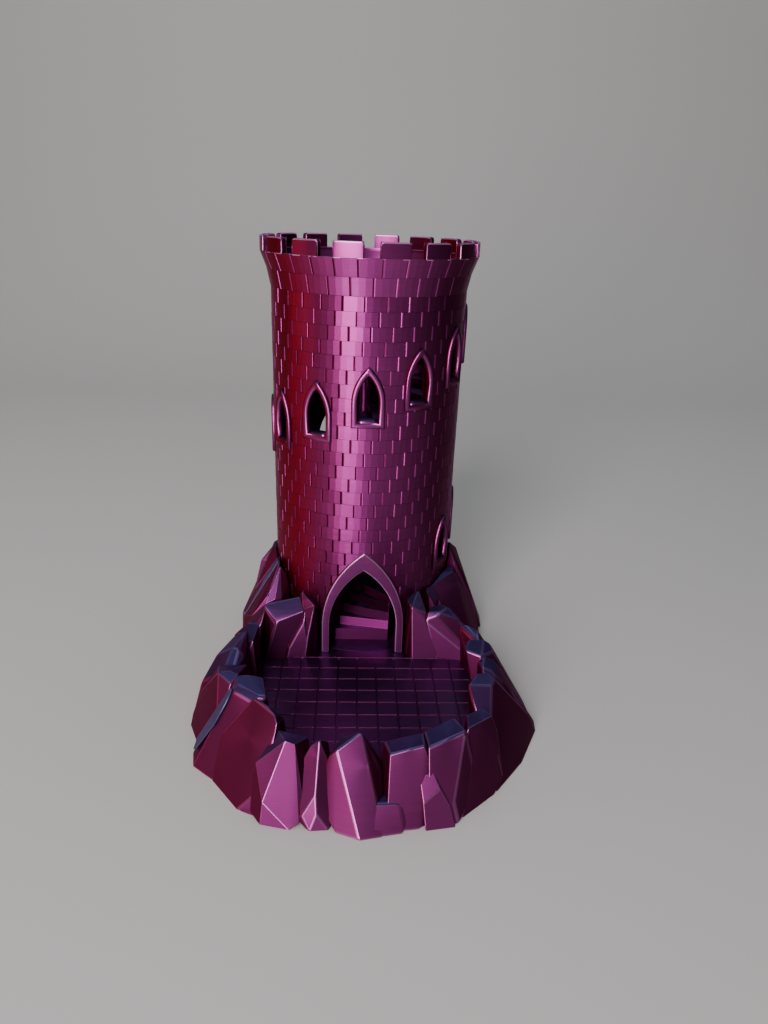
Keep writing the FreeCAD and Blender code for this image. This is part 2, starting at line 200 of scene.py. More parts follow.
def on_wall(phi, z, out):
    """A point that stands out of the wall by out, at a compass angle in radians."""
    r = wall_radius(z) + out
    return Vector((r * math.sin(phi), -r * math.cos(phi), z))


def window_places():
    """The angle and the middle height of every window, climbing round the tower."""
    for i in range(WINDOWS):
        yield math.radians(WINDOW_FIRST_DEG + i * WINDOW_STEP_DEG), WINDOW_FIRST_Z + i * WINDOW_RISE


def lancet(half, z_low, z_spring, z_apex, inset, steps=9):
    """A pointed arch's outline as x, z points from the bottom left round to the bottom right."""
    rise = z_apex - z_spring
    radius = (half ** 2 + rise ** 2) / (2 * half)
    centre = half - radius
    r = radius - inset
    top_angle = math.acos(min(1.0, -centre / r))
    arc = [(centre + r * math.cos(top_angle * k / steps), z_spring + r * math.sin(top_angle * k / steps))
           for k in range(steps + 1)]
    right = [(half - inset, z_low + inset)] + arc
    left = [(-x, z) for x, z in reversed(right[:-1])]
    return list(reversed(right + left))


def window_outline(z, inset):
    """A window's outline round its middle height, drawn in from its outside by inset."""
    low = z - WINDOW_H / 2
    return lancet(WINDOW_HALF, low, z - 0.08 * WINDOW_H, z + WINDOW_H / 2, inset)


def turned_to_front(phi):
    """The same angle, between half a turn either way from the front."""
    return (phi + math.pi) % (2 * math.pi) - math.pi


def near_window(phi, z):
    """Whether a place on the wall is near enough to a window for its brick to be cut."""
    for window_phi, window_z in window_places():
        if abs(turned_to_front(phi - window_phi)) < WINDOW_REACH and abs(z - window_z) < WINDOW_REACH_Z:
            return True
    return False


def add_brick(bm, phi0, phi1, z0, z1):
    """One brick: a faceted block let into the wall, with wide chamfers down its upright edges."""
    tilt = random.uniform(-BRICK_LEAN, BRICK_LEAN)
    lift = random.uniform(-BRICK_LIFT, BRICK_LIFT)

    def ring(side, level, out):
        left, right = phi0 + side / R_FOOT, phi1 - BRICK_CRISP * side / R_FOOT
        low, high = z0 + level, z1 - level
        lower, upper = [], []
        for k in range(BRICK_FACETS + 1):
            share = k / BRICK_FACETS
            phi = left + (right - left) * share
            lean = tilt * (2 * share - 1) if out > 0 else 0.0
            lower.append(on_wall(phi, low, out + lean))
            upper.append(on_wall(phi, high, out + lean))
        return lower + upper[::-1]

    proud = BRICK_PROUD + lift
    rings = [ring(side * MM, level * MM, out * MM if out < 0 else out * proud)
             for side, level, out in BRICK_SECTION]
    made = loft(bm, rings)
    last = 2 * BRICK_FACETS + 1
    for end in (made[0], made[-1]):
        for k in range(BRICK_FACETS):
            bm.faces.new((end[k], end[k + 1], end[last - k - 1], end[last - k]))


def courses():
    """Bottom and top height and starting angle of every course, wall first, then crown."""
    wall_h = (NECK_Z - FOOT_Z) / WALL_COURSES
    for c in range(WALL_COURSES):
        yield FOOT_Z + c * wall_h, FOOT_Z + (c + 1) * wall_h, BRICK_START + c * COURSE_SHIFT
    crown_h = (CRENEL_Z - NECK_Z) / CROWN_COURSES
    for c in range(CROWN_COURSES):
        shift = (WALL_COURSES + c) * COURSE_SHIFT
        yield NECK_Z + c * crown_h, NECK_Z + (c + 1) * crown_h, BRICK_START + shift


def prism_cutters():
    """Solid bars through the brickwork where the windows and the door go. Their edges run inside
    the surrounds, which cover the cut bricks."""
    bm = bmesh.new()
    for phi, z in window_places():
        outline = window_outline(z, WINDOW_CUT_IN)
        rings = []
        for out in (-CUT_DEPTH, CUT_DEPTH):
            rings.append([on_wall(phi + x / R_FOOT, zz, out) for x, zz in outline])
        made = loft(bm, rings)
        cap(bm, made)
    half, apex = DOOR_HALF + DOOR_CUT_OUT, DOOR_APEX_Z + DOOR_CUT_UP
    door = lancet(half, DOOR_FLOOR_Z - DOOR_CUT_DOWN, DOOR_SPRING_Z, apex, 0.0, 14)
    made = loft(bm, [[Vector((x, y, z)) for x, z in door] for y in (-60 * MM, -30 * MM)])
    cap(bm, made)
    return new_object("cutters", bm, MATERIALS["tower"])


def brickwork():
    """The tower's brick face: whole bricks, and those that a window or the door cuts into."""
    whole = bmesh.new()
    cut = bmesh.new()
    pitch = 2 * math.pi / BRICKS_ROUND
    for z0, z1, start in courses():
        for i in range(BRICKS_ROUND):
            phi0 = start + i * pitch
            mid_phi, mid_z = phi0 + pitch / 2, (z0 + z1) / 2
            at_door = abs(turned_to_front(mid_phi)) < DOOR_REACH and mid_z < DOOR_REACH_Z
            touched = at_door or near_window(mid_phi, mid_z)
            add_brick(cut if touched else whole, phi0, phi0 + pitch, z0, z1)
    bricks = new_object("bricks", whole, MATERIALS["tower"], smooth=False)
    edged = new_object("bricks_at_openings", cut, MATERIALS["tower"], smooth=False)
    cutters = prism_cutters()
    boolean = edged.modifiers.new("openings", "BOOLEAN")
    boolean.object = cutters
    boolean.operation = "DIFFERENCE"
    boolean.solver = "EXACT"
    apply_modifiers(edged)
    bpy.data.objects.remove(cutters)
    # The bricks above the neck take the crown silk, whose brighter rose is a painted highlight.
    bricks.data.materials.append(MATERIALS["crown"])
    for polygon in bricks.data.polygons:
        if polygon.center.z > NECK_Z:
            polygon.material_index = 1
    for obj in (bricks, edged):
        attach(obj, "tower")


# ---- window surrounds ----
# The surround's section: inset from the window's outside and height over the wall (mm).
FRAME_PROFILE = [
    (0.0, -0.4), (0.0, 0.95), (0.28, 1.42), (0.75, 1.68), (1.7, 1.62), (2.25, 1.4),
    (2.62, 0.95), (2.75, 0.3), (2.75, -2.6), (1.2, -2.6), (1.2, -0.4),
]
# The sill's section: out from the wall and up from its foot (mm).
SILL_SECTION = [(-2.7, -0.6), (-2.7, 2.0), (0.2, 1.5), (0.9, 0.9), (0.9, -0.6)]


def window_surrounds():
    """A raised lancet surround with a sloping sill at every window."""
    bm = bmesh.new()
    for phi, z in window_places():
        rings = []
        for inset, out in FRAME_PROFILE:
            outline = window_outline(z, inset * MM)
            rings.append([on_wall(phi + x / R_FOOT, zz, out * MM) for x, zz in outline])
        loft(bm, rings, closed_profile=True)
        add_sill(bm, phi, z - WINDOW_H / 2 + 2.2 * MM)
    surrounds = new_object("window_surrounds", bm, MATERIALS["trim"])
    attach(surrounds, "tower")
    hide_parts("window_frames")


def add_sill(bm, phi, z):
    """A wedge across the bottom of a window, falling outwards."""
    half = (WINDOW_HALF - 2.5 * MM) / R_FOOT
    rings = []
    for k in range(5):
        a = phi + half * (k / 2 - 1)
        rings.append([on_wall(a, z + up * MM, out * MM) for out, up in SILL_SECTION])
    made = loft(bm, rings)
    cap(bm, made)


# ---- the door's surround ----
def door_surround():
    """The flat pointed arch round the door, with its edges rounded, let into the brickwork."""
    outer_half, outer_apex = DOOR_HALF + DOOR_BAND, DOOR_APEX_Z + DOOR_BAND_APEX
    outer = lancet(outer_half, DOOR_FLOOR_Z, DOOR_SPRING_Z, outer_apex, 0.0, 20)
    inner = lancet(DOOR_HALF, DOOR_FLOOR_Z, DOOR_SPRING_Z, DOOR_APEX_Z, 0.0, 20)

    def wall_y(x, z):
        return DOOR_SET_IN - math.sqrt(wall_radius(z) ** 2 - x ** 2)

    rings = [
        [Vector((x, wall_y(x, z), z)) for x, z in outer],
        [Vector((x, DOOR_FRONT_Y, z)) for x, z in outer],
        [Vector((x, DOOR_FRONT_Y, z)) for x, z in inner],
        [Vector((x, wall_y(x, z), z)) for x, z in inner],
    ]
    bm = bmesh.new()
    made = loft(bm, rings, closed_rings=False, closed_profile=True)
    for end in (0, -1):
        bm.faces.new([ring[end] for ring in made])
    surround = new_object("door_surround", bm, MATERIALS["trim"])
    # A painted highlight along the rounded edges.
    soften(surround, 0.55 * MM, 40, 3, MATERIALS["trim edge highlight"])
    smooth_shading(surround)
    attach(surround, "tower")
    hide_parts("door_arch")


# ---- the crown ----
def merlon_columns():
    """Across a merlon: the angle from its middle and the height of its top, with round shoulders."""
    shoulder = MERLON_ROUND / R_CROWN
    left = []
    for k in range(5):
        turn = math.pi / 2 * k / 4
        angle = shoulder * (1 - math.cos(turn)) - MERLON_HALF
        left.append((angle, TOP_Z - MERLON_ROUND * (1 - math.sin(turn))))
    level = [(-MERLON_HALF / 2, TOP_Z), (0.0, TOP_Z), (MERLON_HALF / 2, TOP_Z)]
    return left + level + [(-angle, z) for angle, z in reversed(left)]


def add_merlon(bm, middle):
    """One merlon: a curved block with its middle at a compass angle."""
    low = CRENEL_Z - MERLON_SUNK
    rings = []
    for off, top in merlon_columns():
        a = middle + off
        section = [(R_CROWN, low), (R_CROWN, top), (R_PARAPET, top), (R_PARAPET, low)]
        rings.append([Vector((r * math.sin(a), -r * math.cos(a), z)) for r, z in section])
    cap(bm, loft(bm, rings))


def crown():
    """The flared crown with its parapet: a lathed ring, and merlons standing on it."""
    flare = [NECK_Z + (CRENEL_Z - NECK_Z) * k / 8 for k in range(9)]
    profile = [(wall_radius(z), z) for z in flare]
    profile += [(R_CROWN - RIM_EASE, CRENEL_Z), (R_PARAPET + RIM_EASE, CRENEL_Z)]
    profile += [(R_PARAPET, CRENEL_Z - 2 * MM), (R_SHAFT, NECK_Z + 6 * MM), (R_SHAFT, NECK_Z)]
    turn = 2 * math.pi / RING_STEPS
    bm = bmesh.new()
    rings = [[Vector((r * math.sin(turn * k), -r * math.cos(turn * k), z)) for k in range(RING_STEPS)]
             for r, z in profile]
    loft(bm, rings, closed_profile=True)
    for m in range(MERLONS):
        add_merlon(bm, (m + 0.5) * 2 * math.pi / MERLONS)
    ring = new_object("crown", bm, MATERIALS["tower"])
    # A painted highlight along the rounded edges.
    soften(ring, 0.5 * MM, 50, 2, MATERIALS["trim edge highlight"])
    ring.modifiers["soft edges"].use_clamp_overlap = False
    smooth_shading(ring)
    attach(ring, "tower")
    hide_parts("tower_crown")


# ---- materials ----
def silk(name, left, front, right, up, roughness=0.34, layers=0.25, brushed=0.8, level=(0.5, 0.86)):
    """Two-colour silk filament: its colour turns with the way that the surface faces, partly as its own
    two colours and partly as painted reflection and shade, and fine printed layers run level round it."""
    material = bpy.data.materials.new(name)
    material.use_nodes = True
    tree = material.node_tree
    tree.nodes.clear()
    node = tree.nodes.new
    link = tree.links.new
    out = node("ShaderNodeOutputMaterial")
    shader = node("ShaderNodeBsdfPrincipled")
    link(shader.outputs[0], out.inputs[0])
    shader.inputs["Metallic"].default_value = 0.88
    shader.inputs["Coat Weight"].default_value = 0.06
    shader.inputs["Coat Roughness"].default_value = 0.2
    shader.inputs["Specular Tint"].default_value = (0.62, 0.3, 0.5, 1)
    shader.inputs["Anisotropic"].default_value = brushed
    shader.inputs["Anisotropic Rotation"].default_value = 0.25
    around = node("ShaderNodeTangent")
    around.direction_type = "RADIAL"
    around.axis = "Z"
    link(around.outputs[0], shader.inputs["Tangent"])
    # Colour by facing: the filament's two colours, with painted reflection and shade in them.
    place = node("ShaderNodeTexCoord")
    facing = node("ShaderNodeSeparateXYZ")
    link(place.outputs["Normal"], facing.inputs[0])
    across = node("ShaderNodeMapRange")
    across.inputs["From Min"].default_value = -1.0
    across.inputs["From Max"].default_value = 1.0
    link(facing.outputs["X"], across.inputs["Value"])
    tint = node("ShaderNodeValToRGB")
    tint.color_ramp.interpolation = "EASE"
    stops = tint.color_ramp.elements
    stops[0].position, stops[0].color = 0.12, (*left, 1)
    stops[1].position, stops[1].color = 0.9, (*right, 1)
    middle = stops.new(0.45)
    middle.color = (*front, 1)
    link(across.outputs[0], tint.inputs[0])
    upward = node("ShaderNodeMapRange")
    upward.interpolation_type = "SMOOTHSTEP"
    upward.inputs["From Min"].default_value = level[0]
    upward.inputs["From Max"].default_value = level[1]
    link(facing.outputs["Z"], upward.inputs["Value"])
    turned = node("ShaderNodeMix")
    turned.data_type = "RGBA"
    link(upward.outputs[0], turned.inputs["Factor"])
    link(tint.outputs[0], turned.inputs["A"])
    turned.inputs["B"].default_value = (*up, 1)
    # slow drift of the pigment
    drift = node("ShaderNodeTexNoise")
    drift.inputs["Scale"].default_value = 45.0
    drift.inputs["Detail"].default_value = 3.0
    link(place.outputs["Object"], drift.inputs["Vector"])
    shade = node("ShaderNodeMapRange")
    shade.inputs["To Min"].default_value = 0.82
    shade.inputs["To Max"].default_value = 1.18
    link(drift.outputs["Fac"], shade.inputs["Value"])
    # level streaks of the printed layers
    stretch = node("ShaderNodeMapping")
    stretch.inputs["Scale"].default_value = (60.0, 60.0, 3400.0)
    link(place.outputs["Object"], stretch.inputs["Vector"])
    streaks = node("ShaderNodeTexNoise")
    streaks.inputs["Scale"].default_value = 1.0
    streaks.inputs["Detail"].default_value = 2.0
    link(stretch.outputs[0], streaks.inputs["Vector"])
    streak_shade = node("ShaderNodeMapRange")
    streak_shade.inputs["To Min"].default_value = 0.86
    streak_shade.inputs["To Max"].default_value = 1.14
    link(streaks.outputs["Fac"], streak_shade.inputs["Value"])
    both = node("ShaderNodeMath")
    both.operation = "MULTIPLY"
    link(shade.outputs[0], both.inputs[0])
    link(streak_shade.outputs[0], both.inputs[1])
    shaded = node("ShaderNodeVectorMath")
    shaded.operation = "SCALE"
    link(turned.outputs["Result"], shaded.inputs[0])
    link(both.outputs[0], shaded.inputs["Scale"])
    link(shaded.outputs[0], shader.inputs["Base Color"])
    gloss = node("ShaderNodeMapRange")
    gloss.inputs["To Min"].default_value = roughness - 0.05
    gloss.inputs["To Max"].default_value = roughness + 0.07
    link(streaks.outputs["Fac"], gloss.inputs["Value"])
    link(gloss.outputs[0], shader.inputs["Roughness"])
    bump = node("ShaderNodeBump")
    bump.inputs["Strength"].default_value = layers
    bump.inputs["Distance"].default_value = 0.12 * MM
    link(streaks.outputs["Fac"], bump.inputs["Height"])
    link(bump.outputs[0], shader.inputs["Normal"])
    return material


# The filament's colours, with painted reflection and shade in them: crimson on what faces left
# (partly a painted warm reflection), magenta or rose on what faces the front, dark plum on what
# faces right (partly painted shade), and slate on what faces up (partly a painted reflection of a
# pale cool surround).
CRIMSON = (0.23, 0.003, 0.016)
MAGENTA = (0.34, 0.040, 0.23)
PLUM = (0.06, 0.005, 0.03)
SLATE = (0.045, 0.034, 0.12)
# Painted highlight: a brighter rose for the crown's front, a lit copy of the magenta.
CROWN_ROSE_HIGHLIGHT = (0.43, 0.058, 0.30)
TRIM_ROSE = (0.40, 0.075, 0.30)
# Painted shade: darker copies of the crimson and rose for the rocks.
ROCK_CRIMSON_SHADED = (0.13, 0.007, 0.04)
ROCK_ROSE_SHADED = (0.225, 0.030, 0.155)
# Partly a painted reflection: a paler slate for steep slivers that look up.
SLATE_PALE = (0.12, 0.12, 0.24)
# Painted shade: the darker colour inside the tower. The dice floor's tile tops are darker, and
# its lighter tile edges are a painted highlight.
DEEP_SHADE = (0.07, 0.003, 0.03)
TILE_TOP = (0.085, 0.028, 0.12)
TILE_EDGE_HIGHLIGHT = (0.62, 0.16, 0.46)
# Painted highlights: the lighter colours along rounded edges, where they catch the light.
EDGE_CRIMSON_HIGHLIGHT = (0.34, 0.03, 0.10)
EDGE_ROSE_HIGHLIGHT = (0.44, 0.12, 0.36)
EDGE_PLUM_HIGHLIGHT = (0.13, 0.03, 0.09)
EDGE_SLATE_HIGHLIGHT = (0.12, 0.08, 0.22)
TRIM_EDGE_HIGHLIGHT = (0.80, 0.34, 0.66)
MATERIALS = {
    "tower": silk("tower silk", CRIMSON, MAGENTA, PLUM, SLATE),
    # the crown's brighter rose is a painted highlight
    "crown": silk("crown highlight silk", CRIMSON, CROWN_ROSE_HIGHLIGHT, PLUM, SLATE),
    "trim": silk("trim silk", CRIMSON, TRIM_ROSE, PLUM, SLATE, roughness=0.3, layers=0.1),
    # the stairs' darker colour on faces that look left is painted shade
    "stair": silk("stair silk", DEEP_SHADE, MAGENTA, PLUM, TILE_TOP, layers=0.2),
    # the rocks' darker crimson and rose are painted shade
    "rock": silk(
        "rock shaded silk", ROCK_CRIMSON_SHADED, ROCK_ROSE_SHADED, PLUM, SLATE, roughness=0.52, layers=0.3, brushed=0.4,
    ),
    "rock edge highlight": silk("rock edge highlight silk", EDGE_CRIMSON_HIGHLIGHT, EDGE_ROSE_HIGHLIGHT, EDGE_PLUM_HIGHLIGHT, EDGE_SLATE_HIGHLIGHT, layers=0.1),
    "trim edge highlight": silk("trim edge highlight silk", TRIM_EDGE_HIGHLIGHT, TRIM_EDGE_HIGHLIGHT, TRIM_EDGE_HIGHLIGHT, TRIM_EDGE_HIGHLIGHT, layers=0.0),
    "slate": silk("slate silk", SLATE_PALE, SLATE_PALE, SLATE, SLATE_PALE, roughness=0.4, brushed=0.5),
    # the floor's lighter tile edges are a painted highlight
    "floor": silk(
        "floor silk", PLUM, TILE_EDGE_HIGHLIGHT, PLUM, TILE_TOP, layers=0.1, brushed=0.0, level=(0.75, 0.95),
    ),
}


# Each boulder as one or more angular chunks that run into each other. A chunk is given by its
# corners in millimetres.
ROCKS = {
    "tray_boulder_left_rear": [
        [(-54, -62, 31), (-51, -61.5, 32.5), (-48, -66, 33), (-50.5, -64.5, 32.5), (-50, -74, 28.5),
         (-53, -72, 27.5), (-55, -67, 28.5), (-48, -56, 0), (-68, -58, 0), (-47, -80, 0),
         (-64, -78, 0), (-60, -61, 25)],
        [(-53, -63, 29.5), (-60, -66, 26), (-65.5, -80, 25), (-70.5, -90, 18), (-53, -74, 29.5),
         (-57.5, -84, 31.5), (-54.5, -85, 31.5), (-60.5, -96.5, 26.5), (-56, -98.5, 26.5),
         (-52, -88, 29), (-74, -92, 5), (-75.5, -84, 0), (-75, -97, 0), (-68, -58, 0),
         (-47, -86, 0), (-51, -56, 0)],
    ],
    "tray_boulder_left_mid": [
        [(-60, -107, 33.5), (-55.5, -107, 34.5), (-51.5, -109.5, 34.5), (-54, -113, 32),
         (-59, -113, 24), (-71, -92, 14), (-74, -96, 5), (-73, -101, 0), (-59.5, -119.5, 15),
         (-68.5, -113, 0), (-47, -86, 0), (-75, -97, 0), (-42, -104, 0), (-50, -95, 30),
         (-62, -93, 28)],
    ],
    "tray_boulder_left": [
        [(-52, -111, 35), (-47.5, -111.5, 36), (-41, -112, 35), (-38.5, -123, 33), (-41.5, -122.5, 33),
         (-47.5, -114.5, 34.5), (-51, -115.5, 34), (-53, -117, 32), (-60, -119, 18), (-68.5, -112, 4),
         (-70.5, -116, 0), (-69, -124, 0), (-60, -132, 0), (-57.5, -122.5, 16), (-42, -104, 0),
         (-35, -117, 0), (-44, -124, 31)],
    ],
    "tray_boulder_corner_left": [
        [(-43, -126.5, 35), (-37.5, -131.5, 35.5), (-34, -136.5, 34.5), (-33, -139, 32.5),
         (-33.5, -140.5, 30), (-37, -139.5, 27), (-41, -142.5, 17), (-40, -149, 9), (-43, -150, 0),
         (-48, -148, 0), (-60, -132, 0), (-58.5, -123.5, 14), (-43, -124, 34), (-31, -131, 29),
         (-35, -117, 0), (-28, -130, 0), (-38, -152, 0), (-35, -146, 12)],
        [(-41.5, -146, 7), (-43, -149.5, 0), (-47.5, -148.5, 0), (-38, -153, 0), (-39, -151, 3),
         (-40, -140, 0)],
    ],
    "tray_boulder_front_left": [
        [(-29.5, -144.5, 29), (-26, -145, 28), (-37.5, -154, 9), (-38.5, -155.5, 0), (-27.5, -158.3, 0),
         (-24, -157, 2), (-40.5, -145, 19.5), (-33, -138, 29), (-21.5, -139, 26.5), (-24, -146, 20),
         (-28, -130, 0), (-19, -133, 0), (-42, -145.5, 15), (-42.5, -151, 2),
         (-22, -146.5, 18), (-21.5, -155.5, 3)],
    ],
    "tray_boulder_sliver": [
        [(-20.5, -143, 25.5), (-17, -143, 28.5), (-14, -143, 23), (-23, -156.5, 5), (-21.5, -157.5, 0),
         (-18, -154, 13), (-17.5, -157.3, 6.5), (-20, -159, 0), (-13.8, -150, 15), (-13, -158.5, 0),
         (-20, -137, 22), (-14, -138, 24), (-19, -133, 0), (-11, -135, 0),
         (-25, -146, 18), (-25.5, -155, 3), (-12, -147.5, 18), (-11.5, -156, 4)],
    ],
    "tray_boulder_front": [
        [(-1.5, -142.5, 32), (-10.5, -146.5, 27), (-13.5, -146, 23.5), (-13.5, -151.5, 12.5),
         (-12.5, -156, 4), (-10.5, -160, 0), (-1.5, -163.8, 0),
         (6, -146.5, 17.5), (6.5, -154.5, 8), (7, -162, 0),
         (-9, -137, 25), (2, -137, 22), (-11, -135, 0), (5, -135, 0),
         (-15.5, -147, 19), (-15, -155, 5), (9, -142, 14)],
        [(4, -150, 10), (12.5, -150, 10.5), (12, -155.5, 10), (15, -155, 8.5), (15.5, -158, 3),
         (14, -160.5, 0), (0, -163, 0), (2, -156, 10), (4, -140, 0), (14, -140, 0)],
    ],
    "tray_boulder_front_right": [
        [(9, -148, 26), (22, -146, 28.5), (7, -139, 25), (22, -137, 27.5), (25.5, -148, 19),
         (24, -153, 9), (8, -153, 11), (20, -158.3, 0), (8, -160, 0), (5, -135, 0),
         (22, -132, 0), (27, -141, 20), (25, -155, 0), (28, -148, 12), (6, -142, 15)],
    ],
    "tray_boulder_corner_right": [
        [(23.5, -146, 27.5), (38, -140, 30.5), (22.5, -137, 28), (34.5, -131, 30), (33.5, -153, 7.5),
         (35.5, -155, 0), (24, -158.3, 0), (41, -142.5, 18),
         (22, -132, 0), (37, -124, 0), (39, -150, 3), (22, -142, 22), (42, -136, 23)],
        [(20, -150, 18), (25.5, -149.5, 19), (28, -152.5, 14), (21.5, -155.5, 9.5), (22.5, -159, 0),
         (34, -157, 0), (32, -154.5, 7.5), (27, -140, 0)],
    ],
    "tray_boulder_right_front": [
        [(39, -138, 30), (50, -128, 28.5), (46, -134, 26), (47, -122, 28), (40, -128, 29),
         (42, -141, 17), (37, -150.5, 5), (37, -152.5, 0), (51, -140, 0), (52.5, -134, 14),
         (37, -124, 0), (46, -112, 0), (50, -115, 0), (36, -142, 18), (53, -128, 21), (55.5, -134, 4)],
    ],
    "tray_boulder_right": [
        [(42.5, -110.5, 31), (47, -103.5, 32), (52, -102, 32), (54.5, -106, 31), (53, -109, 30),
         (50.5, -109.5, 29.5), (48.5, -112.5, 27), (49, -113.5, 25), (60.5, -117, 13), (53.5, -110, 27),
         (44, -112, 24), (72, -101.5, 10), (76.5, -100, 0), (66, -121.5, 0), (52, -139.5, 0),
         (50, -131, 11), (46, -112, 0), (48, -104, 0), (45, -104, 14), (51, -121, 16)],
    ],
    "tray_boulder_right_mid": [
        [(50, -89, 29), (53, -87.5, 30.5), (57, -87.5, 29), (60, -89, 26), (55, -95.5, 28),
         (51, -95, 29.5), (57, -96.5, 26.5), (60, -96, 23.5), (77.4, -93, 0), (76.5, -101, 0),
         (75, -87, 0), (48, -104, 0), (52, -84, 0), (66, -96, 16), (52, -104, 22), (70, -103, 6)],
    ],
    "tray_boulder_right_side": [
        [(46, -74, 28), (49, -70.5, 29), (56, -69, 28), (59, -69, 26), (59.5, -75, 25), (53, -82.5, 27),
         (46, -79, 28), (52, -70, 0), (52, -84, 0), (72, -70, 0), (76, -86, 0), (75.5, -78, 0),
         (67.5, -72, 12), (52, -80, 22)],
    ],
    "tray_boulder_right_rear": [
        [(46.5, -54, 26.5), (48.5, -53, 27.5), (55, -58, 26.5), (54.5, -64.5, 25), (52, -62, 22),
         (48, -57, 20.5), (60, -62, 20), (66, -55, 0), (70.5, -62, 0), (72, -70, 0), (49, -52.6, 0),
         (52, -70, 0), (56, -70, 22), (50, -66, 12)],
    ],
    "foot_boulder_door_left": [
        [(-30, -41, 37), (-23.5, -48, 33), (-21.6, -44, 29.5), (-26.5, -49.5, 18.5), (-27.5, -50.5, 8),
         (-28, -50.5, 0), (-21.6, -46, 0), (-21.6, -38, 0), (-30.5, -37, 0), (-24, -39, 32),
         (-29, -46, 30), (-32, -50.5, 0), (-31.5, -40, 34)],
        [(-27.5, -47, 29.5), (-28.5, -48.5, 24.5), (-36, -50.5, 10), (-38, -50.5, 0), (-28, -50.5, 0),
         (-27, -50, 14), (-32, -42, 29), (-38, -44, 0), (-30, -38, 0), (-38, -46, 16)],
    ],
    "foot_boulder_nook_left": [
        [(-48.5, -43, 31), (-30.5, -41, 34.5), (-28.3, -47, 29.8), (-40.5, -50, 25.7),
         (-42.2, -48.2, 27.3), (-47.2, -45.3, 29.2), (-42, -50.4, 24), (-47.5, -50.5, 4),
         (-47, -50.5, 0), (-33, -48.5, 0), (-33, -40, 0), (-34, -36, 31), (-46, -38, 29),
         (-50, -40, 0)],
        [(-48.5, -49, 25), (-47.5, -45.5, 29), (-55.5, -35, 20), (-58, -32, 14), (-51, -56, 0),
         (-67, -58, 0), (-63, -32.5, 0), (-60, -50, 12), (-48, -36, 28), (-46, -30, 0)],
    ],
    "foot_boulder_left_front": [
        [(-42.5, -22, 44.5), (-61, -24, 13.5), (-44, -12, 42), (-63.5, -12, 9), (-60, -11, 17),
         (-42, -28, 38.5), (-47.5, -33, 30.5), (-55.5, -34, 19.5), (-58, -31, 13), (-62, -26, 0),
         (-62, -9, 0), (-44, -9, 0), (-38, -28, 0), (-50, -38, 0), (-43, -14, 44)],
        [(-41.5, -26, 43.5), (-39, -27, 40), (-42.5, -29, 39.5), (-37.5, -27, 36.5),
         (-37.5, -30, 34.5), (-40.5, -36, 30.5), (-43.5, -37, 30.5), (-48, -38, 28.5),
         (-45.5, -33, 34.5), (-36, -36, 20), (-48, -37, 18)],
    ],
    "foot_boulder_right_front": [
        [(41.5, -20, 38.5), (47, -18.5, 38), (49, -20, 35), (54.5, -32, 15), (56, -36, 5), (62, -34, 0),
         (64, -26, 0), (64, -8, 0), (45, -8, 0), (46, -9, 37), (48.5, -10, 36.5), (35, -30, 35.5),
         (33, -27, 35.5), (30, -34, 0), (58, -14, 20), (44, -38, 20), (36, -37, 24)],
        [(31.5, -34, 36), (35, -30, 36), (33, -37, 33), (36, -38.5, 28.5), (38, -34, 31),
         (34, -38, 20), (30, -34, 0), (40, -38, 0), (44, -30, 0)],
    ],
    "foot_boulder_nook_right": [
        [(31.5, -47, 30), (35.5, -42, 30.5), (39.5, -40, 30.5), (42, -42, 30), (48, -47, 25),
         (37.5, -47.5, 30), (36, -49, 28.5), (30.5, -49.5, 26.5), (37.5, -50.5, 9.5), (44, -50.5, 15.5),
         (42.5, -50.5, 8), (38, -50.5, 0), (49, -52.6, 0), (64, -55, 0), (62, -34, 0), (32, -40, 0),
         (58, -46, 12), (46, -36, 25), (36, -37, 28)],
    ],
    "foot_boulder_left": [
        [(-47.5, -4, 44.5), (-45.5, -8, 45), (-50, -3, 36), (-58, 0, 19), (-61, 0, 11.5), (-65, 0, 0),
         (-46, 6, 44), (-48, 8, 42), (-66, 6, 0), (-62, 18, 0), (-62, -9, 0), (-42, -9, 0),
         (-42, 14, 0), (-44.5, -13, 42), (-49.5, -10, 34), (-56, -10, 24), (-52, 14, 30)],
    ],
    "foot_boulder_right": [
        [(46, -7, 46), (47, -1, 47), (46, 3, 45), (51, 4, 42), (48, 14, 41), (50.5, -6, 39.5),
         (56, -9, 28.5), (61.5, -14, 14), (60, -17.5, 5), (66, -8, 0), (67, 3, 0), (66, 14, 0),
         (58, 30, 0), (42, -8, 0), (40, 20, 0), (50, 22, 26)],
    ],
    "foot_boulder_door_right": [
        [(21.6, -44, 34.5), (27.5, -39, 38), (28.5, -43, 35.5), (31, -48.5, 30), (23.5, -49, 33),
         (25, -50.5, 8), (25, -50.5, 0), (30, -49, 29), (30.5, -49.5, 26), (37, -50.5, 9.5),
         (37, -50.5, 0), (21.6, -46, 0), (21.6, -38, 0), (22, -39, 34), (34, -40, 0), (30, -39, 33)],
    ],
}
# Slivers of rock down a steep side in a pale slate: partly the filament's cold colour, partly a
# painted reflection of a pale cool surround.
SLATE_ROCKS = {
    "foot_boulder_left_front": [
        [(-42.7, -22, 45), (-61.3, -24, 13.5), (-63.7, -13, 9), (-44.4, -13, 42.8), (-50, -18, 20),
         (-44, -18, 34)],
    ],
    "tray_boulder_left": [
        [(-52.6, -118, 33.2), (-54, -115, 32), (-61.3, -118, 18), (-68.4, -115.5, 8), (-70, -117, 3),
         (-68.5, -119.5, 5), (-60, -121.5, 18.5), (-55, -119.5, 27), (-54, -114, 12)],
    ],
}
SOCKET_R = 45.4 * MM      # the seat that the tower stands in
TILE_EASE = 0.4 * MM


